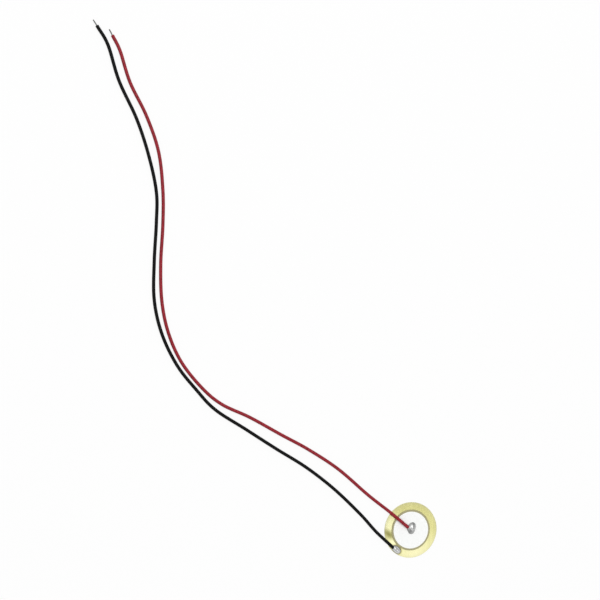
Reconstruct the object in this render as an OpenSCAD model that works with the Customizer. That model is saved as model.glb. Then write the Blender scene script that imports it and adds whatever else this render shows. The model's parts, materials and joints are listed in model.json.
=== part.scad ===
// Piezo disc with two soldered leads, in millimetres.
// The origin is the centre of the plate's underside, and +Z points out of the silver face.

/* [Plate] */
// Diameter of the brass plate
plate_d = 27; // [20:0.5:41]
// Thickness of the brass plate
plate_t = 0.3; // [0.1:0.05:0.6]
// Radius that blanking rolls on the plate's upper edge
plate_edge = 0.08; // [0.02:0.01:0.1]

/* [Ceramic] */
// Diameter of the piezo ceramic
ceramic_d = 19.7; // [14:0.1:24]
// Thickness of the piezo ceramic
ceramic_t = 0.2; // [0.1:0.05:0.4]
// Ceramic left bare round the silver face
ceramic_margin = 0.9; // [0.3:0.05:1.5]
// Thickness of each silver layer
silver_t = 0.01; // [0.005:0.005:0.03]
// Thickness of the glue under the ceramic
glue_t = 0.02; // [0.01:0.01:0.05]
// Width of the glue bead round the ceramic's foot
glue_bead = 0.1; // [0.05:0.01:0.2]

/* [Solder] */
// Length of the drop on the silver face
centre_drop_l = 5.8; // [4:0.1:8]
// Width of the drop on the silver face
centre_drop_w = 3.8; // [3:0.1:6]
// Height of the drop on the silver face
centre_drop_h = 1.3; // [1:0.05:2]
// Length of the drop on the rim, along the rim
rim_drop_l = 5; // [4:0.1:6]
// Height of the drop on the rim
rim_drop_h = 1.2; // [1:0.05:2]
// Brass left bare on each side of the rim drop
rim_drop_margin = 0.12; // [0.05:0.01:0.3]
// Solder that runs on under the end of each insulation
drop_tongue = 0.6; // [0.3:0.05:0.8]

/* [Leads] */
// Outer diameter of the insulation
insulation_d = 1.6; // [1.2:0.05:2]
// Diameter of the tinned conductor
conductor_d = 0.6; // [0.3:0.05:0.7]
// Bare conductor at each far end
bare_end = 3; // [2:0.5:8]
// Conductor inside each solder drop
root_l = 2.2; // [1.5:0.1:3]
// Gap under the insulation where it lies over the disc
lead_lift = 0.02; // [0.01:0.01:0.1]
// Length over which a lead comes down from the disc to the table
lead_settle = 20; // [10:1:40]

/* [Hidden] */
$fn = 96;

// The layers, from the bottom up
rear_silver_z = plate_t + glue_t;
ceramic_z = rear_silver_z + silver_t;
front_silver_z = ceramic_z + ceramic_t;
face_z = front_silver_z + silver_t;
ceramic_r = ceramic_d / 2;
plate_r = plate_d / 2;

// The drop on the silver face: its centre, and the bearing of its length. The red insulation
// stops this far outside the middle of the drop's side.
centre_drop_at = [0.5, 0.9];
centre_drop_turn = 75;
red_stop_out = 0.36;
red_stop = centre_drop_at + (centre_drop_w / 2 + red_stop_out) * heading(centre_drop_turn + 90);
red_bearing = 140;

// The drop on the rim fills the bare brass band at this bearing, its length along the rim.
// The black insulation stops this far inside its far end, and outside the middle of the band.
rim_drop_bearing = 231.5;
black_stop_in = 0.2;
black_stop_out = 0.35;
band_inner = ceramic_r + glue_bead;
band_outer = plate_r - plate_edge;
band_mid = (band_inner + band_outer) / 2;
rim_drop_w = band_outer - band_inner - 2 * rim_drop_margin;
rim_drop_turn = rim_drop_bearing - 90;
rim_drop_at = band_mid * heading(rim_drop_bearing);
black_stop = rim_drop_at + (rim_drop_l / 2 - black_stop_in) * heading(rim_drop_turn)
    + black_stop_out * heading(rim_drop_bearing);
black_bearing = 137;

// The solder drops' form
drop_sides = 40;
drop_rings = 8;
drop_squareness = 2.3;
drop_fullness = 0.75;
tongue_angle = 32;
ridge_h = 0.55;
ridge_w = 0.65;
ridge_l = 1.6;

// The leads' height over the disc and on the table
insulation_r = insulation_d / 2;
conductor_r = conductor_d / 2;
red_z = face_z + lead_lift + insulation_r;
black_z = plate_t + lead_lift + insulation_r;
table_z = insulation_r;

// The leads' sections. The eight flats touch the true round from outside.
lead_sides = 8;
lead_corner_r = insulation_r / cos(180 / lead_sides);
steps = 2;
straight_l = 12;

// The way each lead lies, from where its insulation stops at the drop to its bare end
red_way = concat(
    [red_stop, red_stop + straight_l * heading(red_bearing)],
    [[-22, 18], [-37, 31], [-52, 41], [-65.5, 48.5], [-80.5, 57], [-94, 63.5],
     [-103.5, 71.5], [-113, 83.5], [-119, 97], [-122, 111.5], [-122.5, 128.5],
     [-121.5, 146.5], [-121.5, 162.5], [-123.5, 180], [-129, 196], [-136.5, 211],
     [-141, 225], [-144.5, 232]]);
black_way = concat(
    [black_stop, black_stop + straight_l * heading(black_bearing)],
    [[-26, 9], [-39, 21.5], [-53, 32.5], [-68, 42], [-82.5, 51.5], [-97, 61],
     [-106, 70.5], [-115, 82], [-122, 96.5], [-125.5, 112], [-125.5, 129.5],
     [-124.5, 147.5], [-124.5, 161.5], [-128, 178], [-133.5, 194.5], [-141.5, 211.5],
     [-146.5, 227.5], [-151.5, 236]]);

function heading(angle) = [cos(angle), sin(angle)];
function bearing(v) = atan2(v.y, v.x);
function unit(v) = v / norm(v);
function ease(t) = t * t * (3 - 2 * t);
function clamp(t) = min(max(t, 0), 1);

// A smooth curve through the points, with as many steps to each stretch
function spline(t, a, b, c, d) =
    (2 * b + t * (c - a) + t * t * (2 * a - 5 * b + 4 * c - d)
        + t * t * t * (3 * b - a - 3 * c + d)) / 2;
function curve(p) = let (
    n = len(p),
    q = concat([2 * p[0] - p[1]], p, [2 * p[n - 1] - p[n - 2]]))
    concat(
        [for (i = [1:n - 1], k = [0:steps - 1])
            spline(k / steps, q[i - 1], q[i], q[i + 1], q[i + 2])],
        [p[n - 1]]);

// Height of a lead's axis: level over the disc, then easing down to the table
function lead_z(p, start_z) =
    table_z + (start_z - table_z) * (1 - ease(clamp((norm(p) - plate_r) / lead_settle)));
function axis(way, start_z) = [for (p = curve(way)) [p.x, p.y, lead_z(p, start_z)]];

// The way the axis runs at a point, and the bearings on which it leaves its drop and ends
function tangent(p, i) = unit(p[min(i + 1, len(p) - 1)] - p[max(i - 1, 0)]);
function exit_bearing(way) = bearing(tangent(curve(way), 0));
function end_bearing(way) = let (p = curve(way)) bearing(tangent(p, len(p) - 1));

// One ring of a swept tube, square to the way it runs
function ring(p, i) = let (
    along = tangent(p, i),
    side = unit(cross([0, 0, 1], along)),
    up = cross(along, side))
    [for (k = [0:lead_sides - 1]) let (a = (k + 0.5) * 360 / lead_sides)
        p[i] + lead_corner_r * (cos(a) * side + sin(a) * up)];

// Bands of faces between rings of n points, with a flat face at the first ring
function bands(rings, n) = concat(
    [[for (k = [n - 1:-1:0]) k]],
    [for (i = [0:rings - 2], k = [0:n - 1]) let (j = (k + 1) % n)
        [i * n + k, i * n + j, (i + 1) * n + j, (i + 1) * n + k]]);

// Radius of a drop's foot in direction a: a full oval, drawn out under the insulation's end
function oval(a, length, width) = pow(
    pow(abs(2 * cos(a) / length), drop_squareness) + pow(abs(2 * sin(a) / width), drop_squareness),
    -1 / drop_squareness);
function turn_between(a, b) = abs((a - b + 540) % 360 - 180);
function foot(a, length, width, stop) = let (
    aim = bearing(stop),
    reach = norm(stop) + drop_tongue - oval(aim, length, width),
    off = turn_between(a, aim) / tongue_angle)
    oval(a, length, width) + max(reach, 0) * exp(-off * off);

// Height of a drop: a full dome with a steep foot, and a ridge of solder along the conductor
function drop_z(p, share, height, stop, exit) = let (
    from_stop = p - stop,
    across = cross(heading(exit), from_stop) / ridge_w,
    along = (from_stop * heading(exit) + ridge_l / 4) / ridge_l,
    inside = 1 - share * share)
    height * pow(inside, drop_fullness)
        + ridge_h * exp(-across * across - along * along) * sqrt(inside);

module brass_plate() {
    color("#d8d49a")
        rotate_extrude()
            polygon(concat(
                [[0, 0], [plate_r, 0]],
                [for (a = [0:22.5:90])
                    [plate_r - plate_edge * (1 - cos(a)), plate_t - plate_edge * (1 - sin(a))]],
                [[0, plate_t]]));
}

module glue_layer() {
    bead_h = ceramic_z + glue_bead;
    color("#a89a5c")
        rotate_extrude()
            polygon(concat(
                [[0, plate_t], [ceramic_r + glue_bead, plate_t]],
                [for (a = [15:15:90])
                    [ceramic_r + glue_bead * (1 - sin(a)), bead_h - (bead_h - plate_t) * cos(a)]],
                [[ceramic_r, rear_silver_z], [0, rear_silver_z]]));
}

module rear_electrode() {
    color("#d9dad6")
        translate([0, 0, rear_silver_z])
            cylinder(r = ceramic_r, h = silver_t);
}

module ceramic_disc() {
    color("#979172")
        translate([0, 0, ceramic_z])
            cylinder(r = ceramic_r, h = ceramic_t);
}

module front_electrode() {
    color("#f2f4f2")
        translate([0, 0, front_silver_z])
            cylinder(r = ceramic_r - ceramic_margin, h = silver_t);
}

// A rod that starts at a point and runs level on a bearing
module level_rod(from, bearing, r, l) {
    translate(from)
        rotate([0, 90, bearing])
            cylinder(r = r, h = l);
}

// A solder drop on its own flat base, its length along X, with the seats of the conductor and
// the insulation cut from it. The lead's axis is lead_h above the base.
module solder_drop(length, width, height, stop, exit, lead_h) {
    shares = [for (j = [0:drop_rings - 1]) cos(j * 90 / drop_rings)];
    slopes = [for (share = shares, k = [0:drop_sides - 1])
        let (
            a = k * 360 / drop_sides,
            p = share * foot(a, length, width, stop) * heading(a))
        [p.x, p.y, drop_z(p, share, height, stop, exit)]];
    top = [0, 0, drop_z([0, 0], 0, height, stop, exit)];
    crown = (drop_rings - 1) * drop_sides;
    start = [stop.x, stop.y, lead_h];
    difference() {
        polyhedron(
            concat(slopes, [top]),
            concat(
                bands(drop_rings, drop_sides),
                [for (k = [0:drop_sides - 1])
                    [crown + k, crown + (k + 1) % drop_sides, len(slopes)]]));
        level_rod(start, exit, lead_corner_r, 2 * drop_tongue);
        level_rod(start, exit + 180, conductor_r, root_l);
    }
}

function turned(p, angle) =
    [p.x * cos(angle) - p.y * sin(angle), p.x * sin(angle) + p.y * cos(angle)];

module centre_solder() {
    color("#c9ccca")
        translate([centre_drop_at.x, centre_drop_at.y, face_z])
            rotate([0, 0, centre_drop_turn])
                solder_drop(
                    centre_drop_l, centre_drop_w, centre_drop_h,
                    turned(red_stop - centre_drop_at, -centre_drop_turn),
                    exit_bearing(red_way) - centre_drop_turn, red_z - face_z);
}

module rim_solder() {
    color("#c9ccca")
        translate([rim_drop_at.x, rim_drop_at.y, plate_t])
            rotate([0, 0, rim_drop_turn])
                solder_drop(
                    rim_drop_l, rim_drop_w, rim_drop_h,
                    turned(black_stop - rim_drop_at, -rim_drop_turn),
                    exit_bearing(black_way) - rim_drop_turn, black_z - plate_t);
}

// The insulation of a lead, one tube swept along its way
module insulation(way, start_z) {
    p = axis(way, start_z);
    n = len(p);
    polyhedron(
        [for (i = [0:n - 1]) each ring(p, i)],
        concat(bands(n, lead_sides), [[for (k = [0:lead_sides - 1]) (n - 1) * lead_sides + k]]));
}

// The conductor of a lead where it leaves the insulation: its root in the drop and its bare end
module conductor(way, start_z) {
    start = way[0];
    end = way[len(way) - 1];
    level_rod([start.x, start.y, start_z], exit_bearing(way) + 180, conductor_r, root_l);
    level_rod([end.x, end.y, table_z], end_bearing(way), conductor_r, bare_end);
}

module red_insulation() {
    color("#a8323c") insulation(red_way, red_z);
}

module red_conductor() {
    color("#b9bbb8") conductor(red_way, red_z);
}

module black_insulation() {
    color("#1c1d1f") insulation(black_way, black_z);
}

module black_conductor() {
    color("#b9bbb8") conductor(black_way, black_z);
}

brass_plate();
glue_layer();
rear_electrode();
ceramic_disc();
front_electrode();
centre_solder();
rim_solder();
red_insulation();
red_conductor();
black_insulation();
black_conductor();
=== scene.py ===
"""The looks of a piezo disc with two leads, built round its CAD model. Metres, +Z up."""

import json
import math

import bpy
import numpy as np
from mathutils import Matrix, Vector, noise


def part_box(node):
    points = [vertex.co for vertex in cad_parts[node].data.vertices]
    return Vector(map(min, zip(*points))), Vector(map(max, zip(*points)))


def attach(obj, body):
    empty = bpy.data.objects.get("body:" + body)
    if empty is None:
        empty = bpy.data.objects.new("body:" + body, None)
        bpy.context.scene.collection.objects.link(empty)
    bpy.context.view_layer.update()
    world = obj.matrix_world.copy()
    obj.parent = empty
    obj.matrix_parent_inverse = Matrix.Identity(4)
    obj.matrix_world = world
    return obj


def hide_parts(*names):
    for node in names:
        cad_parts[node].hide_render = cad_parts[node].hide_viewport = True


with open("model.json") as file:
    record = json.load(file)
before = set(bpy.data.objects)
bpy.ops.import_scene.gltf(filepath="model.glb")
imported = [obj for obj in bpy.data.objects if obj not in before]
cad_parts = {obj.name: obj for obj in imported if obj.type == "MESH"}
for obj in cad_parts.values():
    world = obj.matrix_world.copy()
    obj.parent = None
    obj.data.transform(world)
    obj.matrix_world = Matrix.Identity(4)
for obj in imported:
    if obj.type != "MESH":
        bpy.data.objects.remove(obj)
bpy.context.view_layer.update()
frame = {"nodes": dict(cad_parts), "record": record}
MM = 0.001


# ---------------------------------------------------------------- sizes read from the frame

plate_r, plate_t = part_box("brass_plate")[1].x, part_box("brass_plate")[1].z
ceramic_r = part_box("ceramic_disc")[1].x
face_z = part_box("front_electrode")[1].z


def pin(name):
    """The outer end of a bare conductor and the way it points, from the record."""
    mount = next(m for m in frame["record"]["mounts"] if m["name"] == name)
    axis = Vector(mount["axis"]).normalized()
    return Vector(mount["pos_m"]) + axis * mount["dims"]["length_mm"] * MM / 2, axis


# ---------------------------------------------------------------- camera

CAMERA_AT = Vector((-0.2183, 0.1153, 0.5693))
CAMERA_AIM = Vector((-0.0559, 0.1119, 0.0))
LENS_MM = 75
SENSOR_MM = 36


def add_object(name, data):
    made = bpy.data.objects.new(name, data)
    bpy.context.scene.collection.objects.link(made)
    return made


def add_camera():
    """The photo's view, from high on the left, with +Y up the picture."""
    camera = add_object("camera", bpy.data.cameras.new("camera"))
    camera.data.lens = LENS_MM
    camera.data.sensor_width = SENSOR_MM
    camera.data.clip_start = 0.01
    camera.location = CAMERA_AT
    forward = (CAMERA_AIM - CAMERA_AT).normalized()
    upward = (Vector((0, 1, 0)) - forward * forward.y).normalized()
    rightward = forward.cross(upward)
    axes = [[rightward[i], upward[i], -forward[i]] for i in range(3)]
    camera.rotation_mode = "QUATERNION"
    camera.rotation_quaternion = Matrix(axes).to_quaternion()
    bpy.context.scene.camera = camera


add_camera()


# ---------------------------------------------------------------- the leads' route

def heading(degrees):
    return Vector((math.cos(math.radians(degrees)), math.sin(math.radians(degrees))))


# From here to the two ways, the sizes and points repeat part.scad's, which this script can't
# read. After a change there they change here too.
INSULATION_R = 0.8 * MM
CONDUCTOR_R = 0.3 * MM
BARE_END = 3 * MM
ROOT_L = 2.2 * MM
LEAD_LIFT = 0.02 * MM
LEAD_SETTLE = 20 * MM

CENTRE_DROP_AT = Vector((0.0005, 0.0009))
CENTRE_DROP_TURN = 75
CENTRE_DROP_L, CENTRE_DROP_W, CENTRE_DROP_H = 5.8 * MM, 3.8 * MM, 1.3 * MM
RED_STOP_OUT = 0.36 * MM
RED_BEARING = 140
RED_STOP = (CENTRE_DROP_AT
            + (CENTRE_DROP_W / 2 + RED_STOP_OUT) * heading(CENTRE_DROP_TURN + 90))

GLUE_BEAD = 0.1 * MM
PLATE_EDGE = 0.08 * MM
RIM_DROP_MARGIN = 0.12 * MM
RIM_DROP_BEARING = 231.5
RIM_DROP_TURN = RIM_DROP_BEARING - 90
BAND_INNER, BAND_OUTER = ceramic_r + GLUE_BEAD, plate_r - PLATE_EDGE
RIM_DROP_AT = (BAND_INNER + BAND_OUTER) / 2 * heading(RIM_DROP_BEARING)
RIM_DROP_L, RIM_DROP_H = 5 * MM, 1.2 * MM
RIM_DROP_W = BAND_OUTER - BAND_INNER - 2 * RIM_DROP_MARGIN
BLACK_STOP_IN, BLACK_STOP_OUT = 0.2 * MM, 0.35 * MM
BLACK_BEARING = 137
BLACK_STOP = (RIM_DROP_AT + (RIM_DROP_L / 2 - BLACK_STOP_IN) * heading(RIM_DROP_TURN)
              + BLACK_STOP_OUT * heading(RIM_DROP_BEARING))

STRAIGHT_L = 12 * MM
RED_WAY = [
    RED_STOP, RED_STOP + STRAIGHT_L * heading(RED_BEARING),
    (-0.022, 0.018), (-0.037, 0.031), (-0.052, 0.041), (-0.0655, 0.0485), (-0.0805, 0.057),
    (-0.094, 0.0635), (-0.1035, 0.0715), (-0.113, 0.0835), (-0.119, 0.097),
    (-0.122, 0.1115), (-0.1225, 0.1285), (-0.1215, 0.1465), (-0.1215, 0.1625),
    (-0.1235, 0.18), (-0.129, 0.196), (-0.1365, 0.211), (-0.141, 0.225), (-0.1445, 0.232),
]
BLACK_WAY = [
    BLACK_STOP, BLACK_STOP + STRAIGHT_L * heading(BLACK_BEARING),
    (-0.026, 0.009), (-0.039, 0.0215), (-0.053, 0.0325), (-0.068, 0.042), (-0.0825, 0.0515),
    (-0.097, 0.061), (-0.106, 0.0705), (-0.115, 0.082), (-0.122, 0.0965), (-0.1255, 0.112),
    (-0.1255, 0.1295), (-0.1245, 0.1475), (-0.1245, 0.1615), (-0.128, 0.178),
    (-0.1335, 0.1945), (-0.1415, 0.2115), (-0.1465, 0.2275), (-0.1515, 0.236),
]
STEPS = 24


def curve(way):
    """A smooth curve through the points of a way, in STEPS steps from each to the next."""
    p = [Vector(q) for q in way]
    q = [2 * p[0] - p[1], *p, 2 * p[-1] - p[-2]]
    line = []
    for a, b, c, d in zip(q, q[1:], q[2:], q[3:]):
        for k in range(STEPS):
            t = k / STEPS
            line.append((2 * b + t * (c - a) + t ** 2 * (2 * a - 5 * b + 4 * c - d)
                         + t ** 3 * (3 * b - a - 3 * c + d)) / 2)
    return line + [p[-1]]


def lead_path(way, start_z):
    """The axis of a lead: level over the disc, then easing down to the table."""
    points = []
    for p in curve(way):
        share = min(max((p.length - plate_r) / LEAD_SETTLE, 0), 1)
        eased = share * share * (3 - 2 * share)
        points.append((p.x, p.y, INSULATION_R + (start_z - INSULATION_R) * (1 - eased)))
    return np.array(points)


red_path = lead_path(RED_WAY, face_z + LEAD_LIFT + INSULATION_R)
black_path = lead_path(BLACK_WAY, plate_t + LEAD_LIFT + INSULATION_R)


# ---------------------------------------------------------------- materials

def node(tree, kind, inputs=None, **settings):
    """A new node with its settings; each input is a value or the socket that feeds it."""
    made = tree.nodes.new("ShaderNode" + kind)
    for name, value in settings.items():
        setattr(made, name, value)
    for name, value in (inputs or {}).items():
        if isinstance(value, bpy.types.NodeSocket):
            tree.links.new(value, made.inputs[name])
        else:
            made.inputs[name].default_value = value
    return made


def number(tree, operation, a, b=0.0, c=0.0):
    return node(tree, "Math", {0: a, 1: b, 2: c}, operation=operation).outputs[0]


def plus(tree, base, share, extra):
    """A value with a share of another added."""
    return number(tree, "MULTIPLY_ADD", extra, share, base)


def between(tree, value, low, high):
    """A value from 0 to 1 brought evenly to the range from low to high."""
    return number(tree, "MULTIPLY_ADD", value, high - low, low)


def spread(tree, value, low, high, to_low=0.0, to_high=1.0):
    """A value brought smoothly from one range to another, and held at its ends."""
    made = node(tree, "MapRange", {"Value": value, "From Min": low, "From Max": high,
                                   "To Min": to_low, "To Max": to_high},
                interpolation_type="SMOOTHSTEP")
    return made.outputs[0]


def tint(tree, tone, where, strength, colour):
    """A tone with a colour laid over it, where a value from 0 to 1 says, at some strength."""
    factor = number(tree, "MULTIPLY", where, strength)
    made = node(tree, "Mix", {0: factor, 6: tone, 7: (*colour, 1)}, data_type="RGBA")
    return made.outputs[2]


def ramp(tree, factor, low, high):
    """A value turned into a tone. Low and high are each a value and its grey or colour."""
    made = node(tree, "ValToRGB", {"Fac": factor})
    for element, (place, tone) in zip(made.color_ramp.elements, (low, high)):
        element.position = place
        element.color = (*tone, 1) if isinstance(tone, tuple) else (tone, tone, tone, 1)
    return made.outputs[0]


def clouds(tree, place, scale, detail):
    """Soft noise from 0 to 1."""
    made = node(tree, "TexNoise", {"Vector": place, "Scale": scale, "Detail": detail})
    return made.outputs["Fac"]


def grain(tree, place, fine, coarse, turn, detail):
    """Clouds drawn out into lines: fine and coarse are their scales across and along the lines,
    and turn is in radians."""
    drawn = node(tree, "Mapping", {
        "Vector": place, "Scale": (fine, coarse, 1), "Rotation": (0, 0, turn)}).outputs[0]
    return clouds(tree, drawn, 1, detail)


def distance(tree, place):
    """How far a place is from the origin."""
    return node(tree, "VectorMath", {0: place}, operation="LENGTH").outputs["Value"]


def bump(tree, height, depth, normal=None):
    """A surface's normal with bumps on it. A height of 1 stands as proud as the depth."""
    inputs = {"Height": height, "Distance": depth, "Strength": 1.0}
    if normal:
        inputs["Normal"] = normal
    return node(tree, "Bump", inputs).outputs[0]


def surface(name, **values):
    """A material with one Principled shader. Returns it with its tree, its shader and the
    object's coordinates in millimetres."""
    made = bpy.data.materials.new(name)
    made.use_nodes = True
    tree = made.node_tree
    shader = tree.nodes["Principled BSDF"]
    for socket, value in values.items():
        shader.inputs[socket.replace("_", " ")].default_value = value
    place = node(tree, "TexCoord").outputs["Object"]
    place = node(tree, "VectorMath", {0: place, "Scale": 1 / MM}, operation="SCALE").outputs[0]
    return made, tree, shader, place


def connect(tree, shader, **sockets):
    for socket, source in sockets.items():
        tree.links.new(source, shader.inputs[socket.replace("_", " ")])


BRASS_DARK, BRASS_LIGHT = (0.62, 0.59, 0.243), (0.705, 0.675, 0.298)
BRASS_LINE, BRASS_EDGE = (0.585, 0.555, 0.243), (0.55, 0.53, 0.33)
# The dull outer edge starts and is full at these distances inside the rim, in millimetres.
EDGE_START, EDGE_FULL = 1.8, 0.1
# Spots of colour on the plate's upper face, in millimetres and degrees. Each has the place of its
# middle, half its length, half its width, the way its length points, the share of it that is its
# full core, its strength and its colour. All fade out within SPOT_DEPTH below that face.
SPOT_DEPTH = 0.25
# Lighter patches towards the bottom and the left of the plate, and a bright streak by the rim's
# solder: painted reflection of light.
PAINTED_REFLECTIONS = [
    ((3, -14), 19, 19, 0, 0, 0.75, (0.79, 0.76, 0.49)),
    ((-11.5, 3.5), 9, 9, 0, 0, 0.9, (0.87, 0.855, 0.51)),
    ((-9.3, -5.4), 4.5, 2.6, -50, 0, 0.8, (0.92, 0.91, 0.57)),
]
# A dark band across the plate's ring on the left: painted reflection of a dark thing.
PAINTED_DARK_REFLECTION = ((-11.4, -1.4), 6.5, 2.8, -35, 0, 1, (0.29, 0.275, 0.09))
# A dark olive tint round the rim's solder: partly heat tint and flux, partly painted contact
# shadow.
HEAT_TINT_AND_SHADOW = (RIM_DROP_AT / MM, 3.5, 2.6, RIM_DROP_TURN, 0.66, 0.85, (0.3, 0.27, 0.11))


def add_spots(tree, tone, place, spots):
    """A tone with spots laid over it. Each is full over its core and fades out to its edge."""
    for at, length, width, turn, core, strength, colour in spots:
        scaled = node(tree, "Mapping", {
            "Vector": place, "Location": (*at, plate_t / MM),
            "Rotation": (0, 0, math.radians(turn)),
            "Scale": (length, width, SPOT_DEPTH)}, vector_type="TEXTURE").outputs[0]
        inside = spread(tree, distance(tree, scaled), core, 1, 1, 0)
        tone = tint(tree, tone, inside, strength, colour)
    return tone


def brass_tone(tree, place, lines, from_axis):
    """The brass's colour: streaks, rolling lines, painted reflections as lighter patches, a dull
    outer edge, a painted dark reflection on the left, and a heat tint with painted contact shadow
    round the rim's solder."""
    streaks = grain(tree, place, fine=1.1, coarse=0.07, turn=0.05, detail=2)
    tone = ramp(tree, streaks, (0.35, BRASS_DARK), (0.65, BRASS_LIGHT))
    tone = tint(tree, tone, lines, 0.3, BRASS_LINE)
    tone = add_spots(tree, tone, place, PAINTED_REFLECTIONS)
    rim = plate_r / MM
    edge = spread(tree, distance(tree, from_axis), rim - EDGE_START, rim - EDGE_FULL)
    tone = tint(tree, tone, edge, 0.35, BRASS_EDGE)
    return add_spots(tree, tone, place, [PAINTED_DARK_REFLECTION, HEAT_TINT_AND_SHADOW])


def brass_material():
    """Satin rolled brass, a little domed and wavy, with fine rolling lines."""
    made, tree, shader, place = surface("brass", Metallic=1.0)
    lines = grain(tree, place, fine=18, coarse=0.16, turn=0.12, detail=5)
    from_axis = node(tree, "VectorMath", {0: place, 1: (1, 1, 0)},
                     operation="MULTIPLY").outputs[0]
    squared = node(tree, "VectorMath", {0: from_axis, 1: from_axis},
                   operation="DOT_PRODUCT").outputs["Value"]
    dome = number(tree, "MULTIPLY", squared, -1 / (plate_r / MM) ** 2)
    domed = bump(tree, dome, 0.25 * MM)
    wavy = bump(tree, clouds(tree, place, scale=0.09, detail=1), 0.04 * MM, domed)
    specks = clouds(tree, place, scale=6, detail=3)
    lined = bump(tree, plus(tree, lines, 0.3, specks), 0.0012 * MM, wavy)
    connect(tree, shader, Base_Color=brass_tone(tree, place, lines, from_axis),
            Roughness=between(tree, lines, 0.2, 0.32), Normal=lined)
    return made


def silver_material():
    """Printed and fired silver, nearly matte, with specks, patches and faint printing lines."""
    made, tree, shader, place = surface("fired_silver", Metallic=0.05, Roughness=0.55)
    specks = clouds(tree, place, scale=9, detail=4)
    patches = clouds(tree, place, scale=0.25, detail=3)
    tone = ramp(tree, specks, (0.3, (0.86, 0.87, 0.86)), (0.6, (0.93, 0.94, 0.93)))
    tone = tint(tree, tone, patches, 0.25, (0.88, 0.89, 0.88))
    lines = node(tree, "TexWave", {"Vector": place, "Scale": 1.6, "Distortion": 1.5},
                 bands_direction="DIAGONAL").outputs["Fac"]
    height = plus(tree, specks, 0.4, lines)
    connect(tree, shader, Base_Color=tone, Normal=bump(tree, height, 0.003 * MM))
    return made


def ceramic_material():
    """Bare olive ceramic with a fine sintered grain."""
    made, tree, shader, place = surface("piezo_ceramic", Roughness=0.6)
    grains = clouds(tree, place, scale=14, detail=4)
    tone = ramp(tree, grains, (0.3, (0.31, 0.285, 0.145)), (0.7, (0.41, 0.38, 0.205)))
    connect(tree, shader, Base_Color=tone, Normal=bump(tree, grains, 0.004 * MM))
    return made


def glue_material():
    """Clear amber glue, uneven in colour."""
    made, tree, shader, place = surface("glue", Roughness=0.25, Transmission_Weight=0.3)
    tone = ramp(tree, clouds(tree, place, scale=1.2, detail=4),
                (0.3, (0.42, 0.38, 0.16)), (0.7, (0.58, 0.53, 0.24)))
    connect(tree, shader, Base_Color=tone)
    return made


def solder_material(name, base_z, dull_shaded_foot_h, dark, light):
    """Solder with a faint frost, duller and greyer over the height of its foot at the base, partly
    real dullness and partly painted shade.
    """
    made, tree, shader, place = surface(name, Metallic=1.0)
    frost = clouds(tree, place, scale=2, detail=4)
    specks = clouds(tree, place, scale=16, detail=3)
    tone = ramp(tree, frost, (0.3, (dark, dark * 1.01, dark)), (0.7, (light, light * 1.01, light)))
    height = node(tree, "SeparateXYZ", {0: place}).outputs["Z"]
    # Darker towards the foot: partly a dull foot, partly painted shade on the drop's flanks.
    foot = spread(tree, plus(tree, height, 0.3, frost),
                  base_z / MM, base_z / MM + dull_shaded_foot_h, 1, 0)
    tone = tint(tree, tone, foot, 0.9, (0.24, 0.245, 0.24))
    connect(tree, shader, Base_Color=tone, Roughness=ramp(tree, frost, (0.3, 0.26), (0.7, 0.38)),
            Normal=bump(tree, plus(tree, frost, 0.15, specks), 0.015 * MM))
    return made


def tin_material():
    """Tinned copper, dull at the bare ends and bright where the disc's solder wets it."""
    made, tree, shader, place = surface("tinned_copper", Metallic=1.0, Roughness=0.3)
    frost = clouds(tree, place, scale=8, detail=3)
    tone = ramp(tree, frost, (0.3, (0.12, 0.122, 0.118)), (0.7, (0.24, 0.245, 0.235)))
    rim = plate_r / MM
    wetted = spread(tree, distance(tree, place), rim, rim + 2, 1, 0)
    tone = tint(tree, tone, wetted, 1, (0.62, 0.63, 0.62))
    connect(tree, shader, Base_Color=tone, Normal=bump(tree, frost, 0.01 * MM))
    return made


def pvc_material(name, deep, pale, roughness, gloss):
    """Soft extruded plastic, mottled in colour and sheen, with a slightly uneven skin."""
    made, tree, shader, place = surface(name, IOR=1.5, Specular_IOR_Level=gloss)
    mottle = clouds(tree, place, scale=1.1, detail=4)
    skin = clouds(tree, place, scale=7, detail=3)
    connect(tree, shader, Base_Color=ramp(tree, mottle, (0.3, deep), (0.7, pale)),
            Roughness=between(tree, mottle, roughness, roughness + 0.12),
            Normal=bump(tree, plus(tree, skin, 2, mottle), 0.008 * MM))
    return made


brass = brass_material()
silver = silver_material()
ceramic = ceramic_material()
glue = glue_material()
# Both drops are the same solder. The one on the face has a darker tone and a taller dark foot than
# the one on the brass: painted shade.
face_solder = solder_material("face_solder", face_z, dull_shaded_foot_h=1.4, dark=0.53, light=0.63)
brass_solder = solder_material("brass_solder", plate_t, dull_shaded_foot_h=1.05, dark=0.68, light=0.78)
tin = tin_material()
red_pvc = pvc_material("red_pvc", deep=(0.2, 0.005, 0.011), pale=(0.325, 0.015, 0.029),
                       roughness=0.38, gloss=0.25)
black_pvc = pvc_material("black_pvc", deep=(0.002, 0.002, 0.002), pale=(0.004, 0.004, 0.004),
                         roughness=0.42, gloss=0.12)

# The plate, the glue and the ceramic's layers keep their CAD shape.
for name, material in {
    "brass_plate": brass, "glue_layer": glue, "rear_electrode": silver,
    "ceramic_disc": ceramic, "front_electrode": silver,
}.items():
    for slot in frame["nodes"][name].material_slots:
        slot.material = material


# ---------------------------------------------------------------- meshes

def mesh_piece(name, points, faces, slot, material):
    """A smooth-shaded mesh piece that rides on the root body."""
    mesh = bpy.data.meshes.new(name)
    mesh.from_pydata([tuple(p) for p in points], [], faces)
    mesh.validate()
    mesh.shade_smooth()
    mesh.materials.append(material)
    piece = add_object(name, mesh)
    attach(piece, "root")
    return piece


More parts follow.
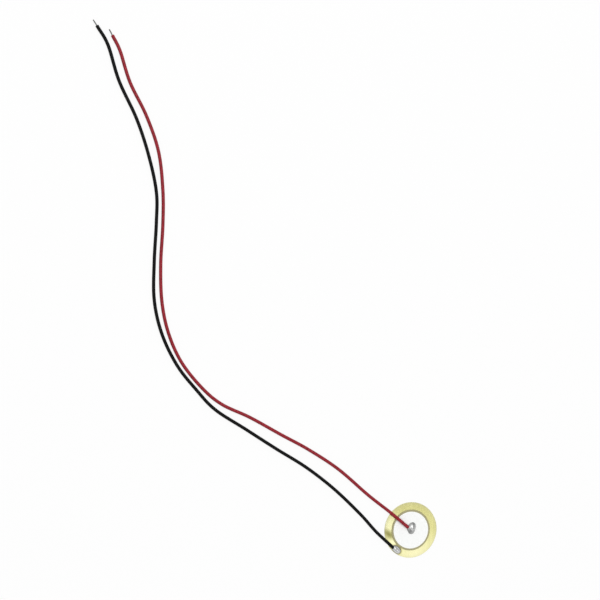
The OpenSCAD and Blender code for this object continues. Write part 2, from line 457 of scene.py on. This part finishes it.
def bands(rings, sides, first=0):
    """Quads between rings of points, each ring closed."""
    return [
        (first + i * sides + k, first + i * sides + (k + 1) % sides,
         first + (i + 1) * sides + (k + 1) % sides, first + (i + 1) * sides + k)
        for i in range(rings - 1) for k in range(sides)
    ]


def ways_along(path):
    """The way that a path runs at each of its points."""
    along = np.gradient(path, axis=0)
    return along / np.linalg.norm(along, axis=1)[:, None]


def sweep(path, along, radii, sides):
    """The rings of a round tube: for each, its middle, the way it faces and its radius."""
    side = np.cross([0, 0, 1.0], along)
    side /= np.linalg.norm(side, axis=1)[:, None]
    up = np.cross(along, side)
    angles = np.arange(sides) * 2 * math.pi / sides
    out = np.cos(angles)[:, None] * side[:, None] + np.sin(angles)[:, None] * up[:, None]
    return (path[:, None] + np.asarray(radii)[:, None, None] * out).reshape(-1, 3)


# ---------------------------------------------------------------- the leads

SLEEVE_SIDES = 28
SLEEVE_BEVEL = 0.06 * MM
BORE_R, BORE_DEPTH = CONDUCTOR_R * 1.06, 0.5 * MM
WAVER, WAVER_PER_M, WAVER_LINE = 0.008, 90, 3.7


def insulation(name, path, slot, material):
    """The sleeve of a lead, its radius wavering a little along it. Each end is cut square, with
    a small bevel and a short open bore round the wire."""
    along = ways_along(path)
    run = np.concatenate([[0], np.cumsum(np.linalg.norm(np.diff(path, axis=0), axis=1))])
    waver = np.array([noise.noise(Vector((s * WAVER_PER_M, WAVER_LINE, 0))) for s in run])
    radii = INSULATION_R * (1 - WAVER + WAVER * waver)

    def cut(end, inward, full_r):
        """The rings of a cut end, from inside its bore out to where the bevel stops."""
        return ([end + inward * BORE_DEPTH, end, end, end + inward * SLEEVE_BEVEL],
                [BORE_R, BORE_R, INSULATION_R - SLEEVE_BEVEL, full_r])

    near, near_r = cut(path[0], along[0], radii[1])
    far, far_r = cut(path[-1], -along[-1], radii[-2])
    line = np.vstack([near, path[1:-1], far[::-1]])
    ways = np.vstack([along[:1]] * 4 + [along[1:-1]] + [along[-1:]] * 4)
    line_r = np.concatenate([near_r, radii[1:-1], far_r[::-1]])
    return mesh_piece(name, sweep(line, ways, line_r, SLEEVE_SIDES),
                      bands(len(line), SLEEVE_SIDES), slot, material)


# A conductor is six strands twisted round a seventh, one turn to each lay, and a rod of tin that
# fills the gaps between them. Tapers are the radii of the last rings, as shares of the full one.
STRANDS, STRAND_SIDES, STRAND_TAPER = 7, 12, [0.85, 0.5]
STRAND_R, STRAND_LAY = CONDUCTOR_R / 3, 7 * MM
# The strands' ends are cut back by up to a share of their length. The step takes them out of turn.
STAGGER, STAGGER_STEP = 0.03, 5
TIN_R, TIN_SIDES, TIN_TAPER = CONDUCTOR_R * 0.86, 24, [0.95, 0.8, 0.45]
TIN_REACH = 0.95
WIRE_RINGS = 36


def tapered(radius, taper):
    """The radii of a strand's rings, down to a blunt tip."""
    radii = radius * np.ones(WIRE_RINGS)
    radii[-len(taper):] *= taper
    return radii


def strands(name, stretches):
    """A tinned conductor, over each stretch given as a start, a direction and a length."""
    points, faces = [], []

    def tube(path, radii, sides):
        first = len(points)
        points.extend(sweep(path, ways_along(path), radii, sides))
        faces.extend(bands(len(path), sides, first))
        faces.append(tuple(first + k for k in reversed(range(sides))))
        faces.append(tuple(first + (len(path) - 1) * sides + k for k in range(sides)))

    for start, way, length in stretches:
        start, way = np.array(start), np.array(way)
        side = np.cross([0, 0, 1.0], way)
        up = np.cross(way, side)
        for k in range(STRANDS):
            cut_back = STAGGER * ((k * STAGGER_STEP) % STRANDS) / STRANDS
            at = np.linspace(0, length * (1 - cut_back), WIRE_RINGS)
            angle = k * math.pi / 3 + 2 * math.pi * at / STRAND_LAY
            out = 0 if k == STRANDS - 1 else 2 * STRAND_R
            path = (start + at[:, None] * way + out * np.cos(angle)[:, None] * side
                    + out * np.sin(angle)[:, None] * up)
            tube(path, tapered(STRAND_R, STRAND_TAPER), STRAND_SIDES)
        at = np.linspace(0, length * TIN_REACH, WIRE_RINGS)
        tube(start + at[:, None] * way, tapered(TIN_R, TIN_TAPER), TIN_SIDES)
    return mesh_piece(name, points, faces, "tinned_copper", tin)


def lead(colour, path, material):
    """A lead's sleeve and wire. The wire shows at its root in the solder and at its bare end."""
    sleeve = insulation(f"{colour}_sleeve", path, f"{colour}_pvc", material)
    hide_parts(f"{colour}_insulation")
    tip, way = pin(f"{colour}_bare_end")
    root = (path[0], -ways_along(path)[0], ROOT_L)
    wire = strands(f"{colour}_wire", [root, (tip - way * BARE_END, way, BARE_END)])
    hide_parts(f"{colour}_conductor")


lead("red", red_path, red_pvc)
lead("black", black_path, black_pvc)


# ---------------------------------------------------------------- the solder drops

# The squareness, the tongue and the ridge's length repeat part.scad's. The dome is less full than
# the CAD's, and the ridge lower and wider.
DROP_SIDES, DROP_RINGS = 144, 44
SQUARENESS, FULLNESS = 2.3, 0.95
TONGUE, TONGUE_ANGLE = 0.6 * MM, math.radians(32)
RIDGE_H, RIDGE_W, RIDGE_L = 0.32 * MM, 0.9 * MM, 1.6 * MM
FOOT_WAVES, FOOT_UNEVEN = 2.2, 0.02
SKIN_PER_M, SKIN_UNEVEN, SKIN_SEED_STEP = 700, 0.04 * MM, 5


def oval(a, length, width):
    """How far a drop's oval reaches at an angle from its length."""
    return ((abs(2 * math.cos(a) / length)) ** SQUARENESS
            + (abs(2 * math.sin(a) / width)) ** SQUARENESS) ** (-1 / SQUARENESS)


def dome(foot, crown, point):
    """The points of a dome in rings from its foot in to its crown, and its faces. The foot gives
    its reach at an angle, and point puts a place and its share of the way out into the frame."""
    points = []
    for j in range(DROP_RINGS):
        share = math.cos(j / DROP_RINGS * math.pi / 2)
        for k in range(DROP_SIDES):
            a = 2 * math.pi * k / DROP_SIDES
            p = share * foot(a) * Vector((math.cos(a), math.sin(a))) + (1 - share) * crown
            points.append(point(p, share))
    top, last = len(points), (DROP_RINGS - 1) * DROP_SIDES
    points.append(point(crown, 0))
    faces = bands(DROP_RINGS, DROP_SIDES)
    faces += [(last + k, last + (k + 1) % DROP_SIDES, top) for k in range(DROP_SIDES)]
    faces.append(tuple(reversed(range(DROP_SIDES))))
    return points, faces


def drop(name, material, at, turn, base_z, size, crown_back, path, seed):
    """A solder drop wetted round the start of a lead: a full oval dome with a ridge over the
    conductor, drawn out under the insulation, with a slightly uneven foot and skin. Its crown
    is a little back from the lead."""
    length, width, height = size
    along_axis = heading(turn)
    across_axis = Vector((-along_axis.y, along_axis.x))

    def local(v):
        return Vector((v.dot(along_axis), v.dot(across_axis)))

    stop = local(Vector(path[0][:2]) - at)
    exit_way = local(Vector((path[1] - path[0])[:2]).normalized()).normalized()
    aim = math.atan2(stop.y, stop.x)
    reach = max(stop.length + TONGUE - oval(aim, length, width), 0)
    crown = -crown_back * exit_way

    def foot(a):
        off = abs((a - aim + 3 * math.pi) % (2 * math.pi) - math.pi) / TONGUE_ANGLE
        edge = noise.noise(Vector((math.cos(a) * FOOT_WAVES, math.sin(a) * FOOT_WAVES, seed)))
        return ((oval(a, length, width) + reach * math.exp(-off * off))
                * (1 + FOOT_UNEVEN * edge))

    def height_at(p, share):
        inside = max(1 - share * share, 0)
        from_stop = p - stop
        across = (exit_way.x * from_stop.y - exit_way.y * from_stop.x) / RIDGE_W
        along = (from_stop.dot(exit_way) + RIDGE_L / 4) / RIDGE_L
        skin = noise.noise(Vector((p.x * SKIN_PER_M, p.y * SKIN_PER_M, seed + SKIN_SEED_STEP)))
        return (height * inside ** FULLNESS + skin * SKIN_UNEVEN * math.sqrt(inside)
                + RIDGE_H * math.exp(-across ** 2 - along ** 2) * math.sqrt(inside))

    def point(p, share):
        world = at + along_axis * p.x + across_axis * p.y
        return world.x, world.y, base_z + height_at(p, share)

    return mesh_piece(name, *dome(foot, crown, point), "solder", material)


centre_drop = drop("centre_drop", face_solder, CENTRE_DROP_AT, CENTRE_DROP_TURN, face_z,
                   (CENTRE_DROP_L, CENTRE_DROP_W, CENTRE_DROP_H), crown_back=0.1 * MM,
                   path=red_path, seed=1)
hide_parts("centre_solder")
rim_drop = drop("rim_drop", brass_solder, RIM_DROP_AT, RIM_DROP_TURN, plate_t,
                (RIM_DROP_L, RIM_DROP_W, RIM_DROP_H), crown_back=0.6 * MM,
                path=black_path, seed=2)
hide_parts("rim_solder")


# ---------------------------------------------------------------- floor and lights

FLOOR_REACH, FLOOR_Z = 4.0, -0.05 * MM
# Near the disc this share of the floor is plain white, to the camera and in reflections, and the
# rest takes the shadows. It rises to all of the floor between two distances, in millimetres.
FLOOR_WHITE, FLOOR_FADE = 0.88, (350, 1200)
# The world's strength on matte surfaces.
WORLD_FILL = 0.625
# What metal and glass see of the world: walls up to the first height and a dimmer ceiling from
# the second, each with its strength. A height is the sine of an elevation.
WALLS, CEILING = (0.2, 1.0), (0.42, 0.35)


def floor_material():
    """White from above, with the object's shadow left on it, and clear from below."""
    made, tree, shader, place = surface("white_floor", Roughness=0.9,
                                        Base_Color=(0.85, 0.85, 0.85, 1))
    whiteness = spread(tree, distance(tree, place), *FLOOR_FADE, FLOOR_WHITE, 1)
    rays = node(tree, "LightPath").outputs
    seen = number(tree, "MAXIMUM", rays["Is Camera Ray"], rays["Is Glossy Ray"])
    seen = number(tree, "MAXIMUM", seen, rays["Is Transmission Ray"])
    share = number(tree, "MULTIPLY", seen, whiteness)
    white = node(tree, "Emission", {"Color": (1, 1, 1, 1), "Strength": 1.0}).outputs[0]
    mixed = node(tree, "MixShader", {0: share, 1: shader.outputs[0], 2: white}).outputs[0]
    behind = node(tree, "NewGeometry").outputs["Backfacing"]
    clear = node(tree, "BsdfTransparent").outputs[0]
    both = node(tree, "MixShader", {0: behind, 1: mixed, 2: clear}).outputs[0]
    tree.links.new(both, tree.nodes["Material Output"].inputs["Surface"])
    return made


def add_floor():
    """A plain floor just under the disc."""
    mesh = bpy.data.meshes.new("floor")
    corners = [(-1, -1), (1, -1), (1, 1), (-1, 1)]
    mesh.from_pydata([(x * FLOOR_REACH, y * FLOOR_REACH, FLOOR_Z) for x, y in corners],
                     [], [(0, 1, 2, 3)])
    mesh.materials.append(floor_material())
    add_object("floor", mesh)


def add_lamp(name, at, aim, size, radiance):
    """A square lamp that the camera doesn't see. Its radiance is the same at any size."""
    light = bpy.data.lights.new(name, "AREA")
    light.shape = "SQUARE"
    light.size = size
    light.energy = radiance * math.pi * size ** 2
    lamp = add_object(name, light)
    lamp.visible_camera = False
    lamp.location = at
    lamp.rotation_mode = "QUATERNION"
    lamp.rotation_quaternion = (Vector(aim) - Vector(at)).to_track_quat("-Z", "Y")


def set_world():
    """White to the camera, walls and a ceiling to metal and glass, and an even fill elsewhere."""
    world = bpy.data.worlds.new("studio")
    bpy.context.scene.world = world
    world.use_nodes = True
    tree = world.node_tree
    rays = node(tree, "LightPath").outputs
    way = node(tree, "TexCoord").outputs["Generated"]
    height = node(tree, "SeparateXYZ", {0: way}).outputs["Z"]
    walls = ramp(tree, height, WALLS, CEILING)
    mirrored = number(tree, "MAXIMUM", rays["Is Glossy Ray"], rays["Is Transmission Ray"])
    fill = number(tree, "MULTIPLY", number(tree, "SUBTRACT", 1.0, mirrored), WORLD_FILL)
    strength = number(tree, "MULTIPLY_ADD", walls, mirrored, fill)
    strength = number(tree, "MAXIMUM", strength, rays["Is Camera Ray"])
    tree.links.new(strength, tree.nodes["Background"].inputs["Strength"])
    tree.nodes["Background"].inputs["Color"].default_value = (1, 1, 1, 1)


add_floor()
set_world()
# The broad key comes from the top of the picture, the small spark makes the highlights on the
# drops, and the brass mirrors the top lamp in the main view.
add_lamp("key", at=(-0.2, 0.6, 0.95), aim=(-0.06, 0.1, 0), size=1.3, radiance=0.9)
add_lamp("spark", at=(-0.08, 0.42, 0.94), aim=(0, 0, 0), size=0.4, radiance=2.8)
add_lamp("top", at=(0.42, -0.5, 1.05), aim=(-0.03, 0.05, 0), size=0.8, radiance=1.1)
bpy.context.scene.view_settings.view_transform = "Standard"
